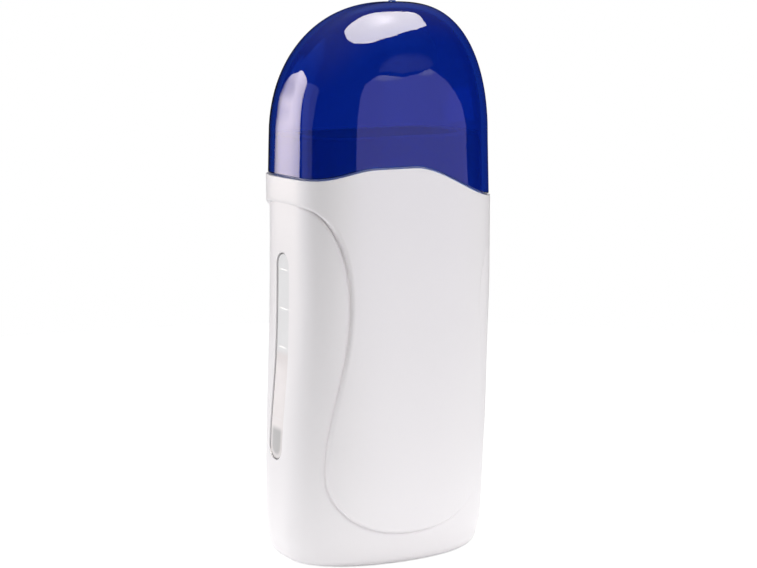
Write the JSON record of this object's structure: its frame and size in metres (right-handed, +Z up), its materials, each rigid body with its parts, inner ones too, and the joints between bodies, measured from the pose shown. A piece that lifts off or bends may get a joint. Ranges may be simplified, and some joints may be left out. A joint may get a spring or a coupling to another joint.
{
  "type": "roll on wax heater",
  "caption": "Upright heater for a roll-on wax cartridge: two-part casing with raised waisted panels, a clear level window on one narrow side and a translucent domed cap that lifts off.",
  "frame": {"origin": "middle of the flat foot, which is the bottom centre of the overall box", "axes": "+Z up towards the cap, -Y out of the wide front, -X out of the narrow side with the level window"},
  "size_m": [0.075, 0.0482, 0.1859],
  "materials": {
    "cap_blue": "translucent deep blue, polished",
    "casing_white": "satin white",
    "collar_white": "satin white",
    "window_clear": "clear, polished",
    "sleeve_aluminium": "drawn, plain",
    "floor_plastic": "plain, heat resistant",
    "heater_aluminium": "extruded, plain",
    "film_amber": "amber insulating film",
    "contact_brass": "rolled",
    "chip_ceramic": "dark sintered ceramic",
    "fuse_case": "plated case",
    "glass_braid": "woven sleeve",
    "spring_steel": "spring strip",
    "lamp_glass": "clear glass",
    "holder_plastic": "plain, heat resistant",
    "resistor_body": "lacquered",
    "lead_grey": "sleeved",
    "inlet_black": "plain black",
    "pin_brass": "nickel plated",
    "terminal_brass": "tinned",
    "wire_brown": "insulated",
    "wire_blue": "insulated",
    "screw_steel": "zinc plated"
  },
  "bodies": {
    "heater": {"front_shell": "casing_white", "rear_shell": "casing_white", "casing_screws": "screw_steel", "collar": "collar_white", "level_window": "window_clear", "heating_sleeve": "sleeve_aluminium", "chamber_floor": "floor_plastic", "heater_block": "heater_aluminium", "clamp_plate": "heater_aluminium", "clamp_screws": "screw_steel", "insulation_film": "film_amber", "contact_plates": "contact_brass", "ptc_chips": "chip_ceramic", "thermal_fuse": "fuse_case", "fuse_sleeve": "glass_braid", "fuse_clip": "spring_steel", "pilot_lamp": "lamp_glass", "lamp_holder": "holder_plastic", "lamp_resistor": "resistor_body", "lamp_leads": "lead_grey", "inlet_socket": "inlet_black", "inlet_pins": "pin_brass", "crimp_terminals": "terminal_brass", "live_wire": "wire_brown", "neutral_wire": "wire_blue", "fuse_lead": "wire_brown"},
    "cap": {"cap": "cap_blue"}
  },
  "joints": [
    {"name": "cap_lift", "type": "slide", "parent": "heater", "child": "cap", "axis": [0, 0, 1], "range_m": [0, 0.05]}
  ]
}
